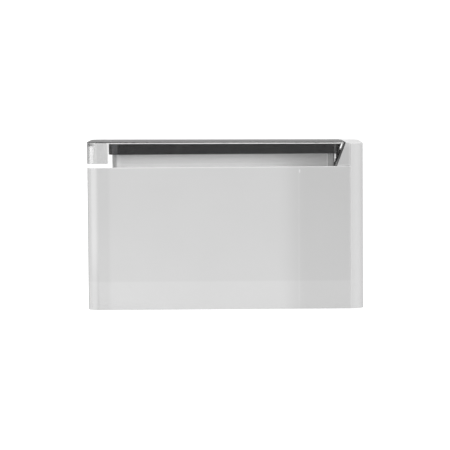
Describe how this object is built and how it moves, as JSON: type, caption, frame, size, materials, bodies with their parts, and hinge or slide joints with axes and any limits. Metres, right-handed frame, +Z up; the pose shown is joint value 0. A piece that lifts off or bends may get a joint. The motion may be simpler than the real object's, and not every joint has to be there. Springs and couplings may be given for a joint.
{
  "type": "cling film dispenser",
  "caption": "Counter-top cling film dispenser: housing with a clear hinged lid, a dark blade carrier under it, and an inner tray that holds the film roll.",
  "frame": {"origin": "middle of the outline, on the surface that the feet stand on", "axes": "+X along the housing towards its end cap, +Y from front to back, +Z up"},
  "size_m": [0.376, 0.1404, 0.2296],
  "materials": {
    "housing": "gloss, slightly translucent white",
    "inner_plastic": "fine matt",
    "tray": "satin",
    "clear": "clear moulded plastic",
    "dark_plastic": "fine satin",
    "seal": "matt",
    "cradle": "self-lubricating plastic",
    "rubber": "matt",
    "steel": "stainless",
    "cardboard": "spiral-wound board",
    "film": "wound clear film"
  },
  "bodies": {
    "housing": {"base_plate": "inner_plastic", "base_screws": "steel", "cheek_insert": "housing", "cradle_left": "cradle", "cradle_right": "cradle", "cradle_screws": "steel", "end_cap": "housing", "end_cap_screws": "steel", "guide_bush_left": "cradle", "guide_bush_right": "cradle", "hinge_bracket_left": "housing", "hinge_bracket_right": "housing", "hinge_pin_left": "steel", "hinge_pin_right": "steel", "hinge_screws": "steel", "lid_buffers": "rubber", "plinth": "inner_plastic", "roll_tray": "tray", "rubber_feet": "rubber", "shell": "housing", "tray_screws": "steel"},
    "lid": {"lid": "clear", "blade_carrier": "dark_plastic", "cutter_blade": "steel", "blade_screws": "steel", "carrier_screws": "steel", "end_seal": "seal"},
    "roll": {"film_core": "cardboard", "film_roll": "film", "core_plug_left": "cradle", "core_plug_right": "cradle"},
    "guide_roller": {"guide_shaft": "steel", "guide_sleeve": "dark_plastic"}
  },
  "joints": [
    {"name": "lid_hinge", "type": "hinge", "parent": "housing", "child": "lid", "pos_m": [0, 0.06575, 0.1907], "axis": [-1, 0, 0], "range_deg": [0, 100]},
    {"name": "roll_spin", "type": "hinge", "parent": "housing", "child": "roll", "pos_m": [0, -0.00275, 0.105], "axis": [1, 0, 0], "continuous": true},
    {"name": "guide_roller_spin", "type": "hinge", "parent": "housing", "child": "guide_roller", "pos_m": [0, -0.03775, 0.211], "axis": [1, 0, 0], "continuous": true}
  ]
}
